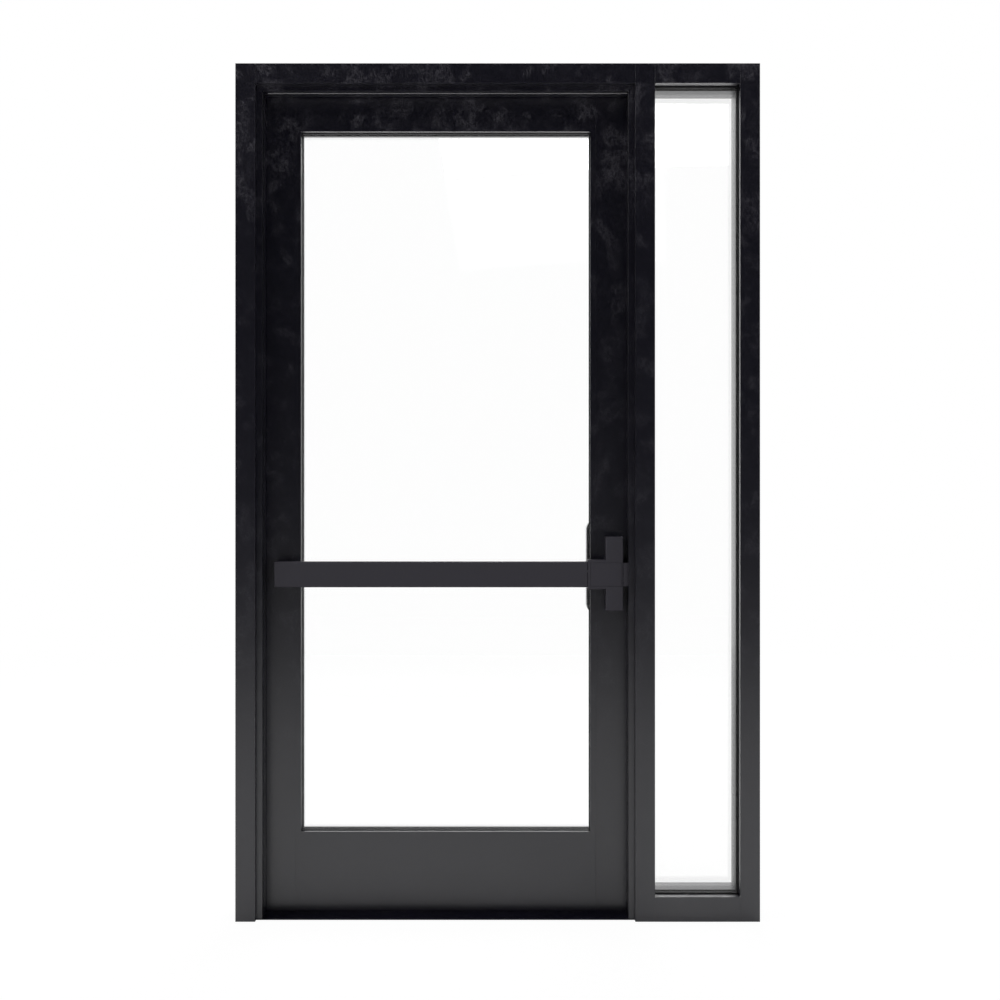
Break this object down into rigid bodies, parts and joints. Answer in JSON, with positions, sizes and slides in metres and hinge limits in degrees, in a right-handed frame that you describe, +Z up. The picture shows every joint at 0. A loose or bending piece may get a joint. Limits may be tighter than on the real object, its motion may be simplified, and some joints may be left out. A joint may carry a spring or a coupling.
{
  "type": "glass door",
  "caption": "Outswing storefront door in a black aluminium frame with a fixed sidelite, clear insulated glass, a push bar exit device inside and an offset pull outside.",
  "frame": {"origin": "on the floor, under the middle of the frame's width and depth", "axes": "+X to the right seen from the push side, +Y through the door to the outside, +Z up"},
  "size_m": [1.3534, 0.1778, 2.2144],
  "materials": {
    "frame_coat": "satin black powder coat on aluminium extrusions",
    "device_coat": "fine satin charcoal coat on the exit device",
    "door_glass": "clear polished glass",
    "lite_glass": "clear polished glass",
    "spacer_bar": "black warm edge spacer",
    "gasket_rubber": "matt black rubber",
    "pile_fibre": "black brush pile",
    "grey_pile": "grey brush pile",
    "pull_coat": "satin black powder coat",
    "hinge_coat": "satin black coat on steel",
    "plain_steel": "bare steel",
    "latch_steel": "brushed stainless steel",
    "bush_plastic": "natural nylon",
    "cylinder_metal": "brushed steel"
  },
  "bodies": {
    "frame": {"hinge_jamb": "frame_coat", "mullion": "frame_coat", "sidelite_jamb": "frame_coat", "door_header": "frame_coat", "sidelite_header": "frame_coat", "sidelite_sill": "frame_coat", "sidelite_glass_stops": "frame_coat", "threshold": "frame_coat", "hinge_jamb_stop": "frame_coat", "mullion_stop": "frame_coat", "header_stop": "frame_coat", "side_stop_piles": "pile_fibre", "header_stop_pile": "grey_pile", "stop_seals": "gasket_rubber", "sidelite_inner_pane": "lite_glass", "sidelite_outer_pane": "lite_glass", "sidelite_spacer": "spacer_bar", "sidelite_gaskets": "gasket_rubber", "sidelite_setting_blocks": "gasket_rubber", "strike": "device_coat", "strike_screws": "plain_steel", "frame_hinge_leaves": "hinge_coat", "frame_hinge_backers": "plain_steel", "frame_hinge_screws": "plain_steel", "hinge_pins": "plain_steel"},
    "leaf": {"hinge_stile": "frame_coat", "lock_stile": "frame_coat", "top_rail": "frame_coat", "bottom_rail": "frame_coat", "kick_rail": "frame_coat", "inner_glass_stops": "frame_coat", "outer_glass_stops": "frame_coat", "door_inner_pane": "door_glass", "door_outer_pane": "door_glass", "door_spacer": "spacer_bar", "door_gaskets": "gasket_rubber", "door_setting_blocks": "gasket_rubber", "door_sweep": "pile_fibre", "tie_rods": "plain_steel", "door_hinge_leaves": "hinge_coat", "door_hinge_backers": "plain_steel", "door_hinge_screws": "plain_steel", "device_rail": "device_coat", "guide_bushes": "bush_plastic", "return_springs": "plain_steel", "device_chassis": "plain_steel", "crank_pin": "plain_steel", "device_cover": "device_coat", "device_face_plate": "device_coat", "device_screws": "plain_steel", "pull_handle": "pull_coat", "pull_studs": "plain_steel", "cylinder_body": "cylinder_metal"},
    "bar": {"push_bar": "device_coat", "bar_end_cap": "device_coat", "bar_guide_posts": "plain_steel", "bar_actuator": "plain_steel"},
    "latch": {"latch_bolt": "latch_steel"},
    "crank": {"latch_crank": "plain_steel"},
    "key_plug": {"cylinder_plug": "cylinder_metal"}
  },
  "joints": [
    {"name": "leaf_swing", "type": "hinge", "parent": "frame", "child": "leaf", "pos_m": [-0.6243, 0.06415, 1.1202], "axis": [0, 0, 1], "range_deg": [0, 170]},
    {"name": "bar_push", "type": "slide", "parent": "leaf", "child": "bar", "axis": [0, 1, 0], "range_m": [0, 0.012], "stiffness_N_per_m": 1200, "springref_m": -0.004, "deforming": ["return_springs"]},
    {"name": "latch_slide", "type": "slide", "parent": "leaf", "child": "latch", "axis": [-1, 0, 0], "range_m": [0, 0.012]},
    {"name": "crank_turn", "type": "hinge", "parent": "leaf", "child": "crank", "pos_m": [0.279, -0.008, 0.894], "axis": [0, 0, 1], "range_deg": [-57.3, 0]},
    {"name": "key_turn", "type": "hinge", "parent": "leaf", "child": "key_plug", "pos_m": [0.3041, 0.06, 0.944], "axis": [0, 1, 0], "range_deg": [-90, 90]}
  ],
  "couplings": [
    {"joint": "latch_slide", "follows": "bar_push", "ratio": 1},
    {"joint": "crank_turn", "follows": "bar_push", "rad_per_m": -83.225}
  ]
}
